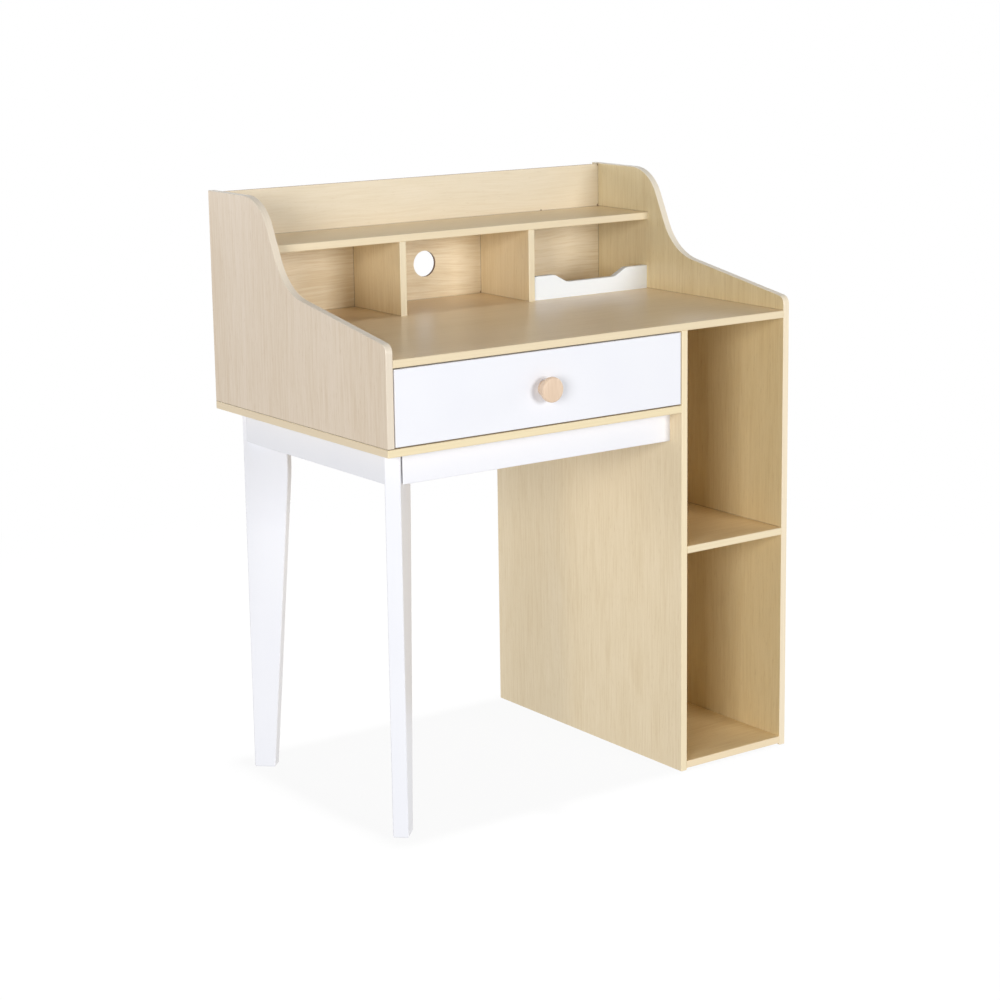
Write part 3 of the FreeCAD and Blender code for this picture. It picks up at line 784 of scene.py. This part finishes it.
# soft studio: low soft boxes all round, a key from the left, and one overhead for the level faces
studio = {
    "room": 0.02,       # light from all round
    "reach": 7.0,       # of every soft box from where it aims
    "aim": (0, 0, 0.6),
    "boxes": {
        "key": {"bearing": -53, "rise": 9, "size": 2.4, "watts": 263},
        "front": {"bearing": 13, "rise": 10, "size": 2.2, "watts": 233},
        "left": {"bearing": -100, "rise": 14, "size": 2.4, "watts": 38},
        "backLeft": {"bearing": -150, "rise": 10, "size": 2.4, "watts": 94},
        "back": {"bearing": 180, "rise": 10, "size": 2.4, "watts": 195},
        "right": {"bearing": 85, "rise": 10, "size": 2.4, "watts": 160},
        "top": {"bearing": 0, "rise": 90, "size": 1.2, "watts": 86},
    },
}


def softBox(name, look):
    bearing, rise = math.radians(look["bearing"]), math.radians(look["rise"])
    data = bpy.data.lights.new(name, "AREA")
    data.shape = "SQUARE"
    data.size = look["size"]
    data.energy = look["watts"]
    lamp = bpy.data.objects.new(name, data)
    scene.collection.objects.link(lamp)
    lamp.visible_camera = False
    aim = Vector(studio["aim"])
    level = math.cos(rise)
    back = Vector((math.sin(bearing) * level, -math.cos(bearing) * level, math.sin(rise)))
    lamp.location = aim + back * studio["reach"]
    lamp.rotation_mode = "QUATERNION"
    lamp.rotation_quaternion = (-back).to_track_quat("-Z", "Y")


def seenRays(tree):
    # camera, mirror and see-through rays meet the white room itself
    path = tree.nodes.new("ShaderNodeLightPath")
    total = path.outputs["Is Camera Ray"]
    for name in ("Is Glossy Ray", "Is Transmission Ray"):
        node = tree.nodes.new("ShaderNodeMath")
        node.operation = "MAXIMUM"
        tree.links.new(total, node.inputs[0])
        tree.links.new(path.outputs[name], node.inputs[1])
        total = node.outputs["Value"]
    return total


def glowing(tree, kind, strength):
    node = tree.nodes.new(kind)
    node.inputs["Color"].default_value = (1, 1, 1, 1)
    node.inputs["Strength"].default_value = strength
    return node.outputs[0]


def joined(tree, kind, *sources):
    node = tree.nodes.new(kind)
    for socket, source in zip(node.inputs, sources):
        tree.links.new(source, socket)
    return node.outputs[0]


def setRoom():
    world = bpy.data.worlds.new("white_room")
    scene.world = world
    world.use_nodes = True
    tree = world.node_tree
    tree.nodes.clear()
    lit = glowing(tree, "ShaderNodeBackground", studio["room"])
    seen = glowing(tree, "ShaderNodeBackground", 1)
    out = tree.nodes.new("ShaderNodeOutputWorld")
    tree.links.new(joined(tree, "ShaderNodeMixShader", seenRays(tree), lit, seen), out.inputs["Surface"])


# the floor is near white to the eye, with the desk's shade in it
whiteFloor = {
    "size": 60,
    "drop": 0.0005,     # below the feet
    "glow": 0.938,
    "catch": 0.024,     # how much of the shade it takes
    "bounce": 0.52,     # light it throws back at the desk
    "fade": (1.1, 2.0),     # metres from the middle, where it turns plain white
    "sun": {"strength": 6.2, "angle": 3.5},     # straight above and on the floor alone, for the shade
}


def fromMiddle(tree, low, high):
    # 0 near the desk, 1 far out
    coords = tree.nodes.new("ShaderNodeTexCoord")
    radius = tree.nodes.new("ShaderNodeVectorMath")
    radius.operation = "LENGTH"
    fade = tree.nodes.new("ShaderNodeMapRange")
    fade.interpolation_type = "SMOOTHSTEP"
    fade.inputs["From Min"].default_value = low
    fade.inputs["From Max"].default_value = high
    tree.links.new(coords.outputs["Object"], radius.inputs[0])
    tree.links.new(radius.outputs["Value"], fade.inputs["Value"])
    return fade.outputs["Result"]


def floorFinish():
    material = bpy.data.materials.new("studio_floor")
    material.use_nodes = True
    tree = material.node_tree
    tree.nodes.clear()
    catch = tree.nodes.new("ShaderNodeBsdfDiffuse")
    catch.inputs["Color"].default_value = (*[whiteFloor["catch"]] * 3, 1)
    glow = glowing(tree, "ShaderNodeEmission", whiteFloor["glow"])
    near = joined(tree, "ShaderNodeAddShader", glow, catch.outputs[0])
    far = glowing(tree, "ShaderNodeEmission", 1)
    seen = joined(tree, "ShaderNodeMixShader", fromMiddle(tree, *whiteFloor["fade"]), near, far)
    bounce = glowing(tree, "ShaderNodeEmission", whiteFloor["bounce"])
    out = tree.nodes.new("ShaderNodeOutputMaterial")
    tree.links.new(joined(tree, "ShaderNodeMixShader", seenRays(tree), bounce, seen), out.inputs["Surface"])
    material.cycles.emission_sampling = "NONE"
    return material


def setFloor():
    bpy.ops.mesh.primitive_plane_add(size=whiteFloor["size"], location=(0, 0, -whiteFloor["drop"]))
    floor = bpy.context.object
    floor.name = "studio_floor"
    floor.data.materials.append(floorFinish())
    alone = bpy.data.collections.new("floor_alone")
    alone.objects.link(floor)
    data = bpy.data.lights.new("floor_sun", "SUN")
    data.energy = whiteFloor["sun"]["strength"]
    data.angle = math.radians(whiteFloor["sun"]["angle"])
    sun = bpy.data.objects.new("floor_sun", data)
    scene.collection.objects.link(sun)
    sun.light_linking.receiver_collection = alone


for name, look in studio["boxes"].items():
    softBox(name + "_soft_box", look)
setRoom()
setFloor()
print("studio ready")
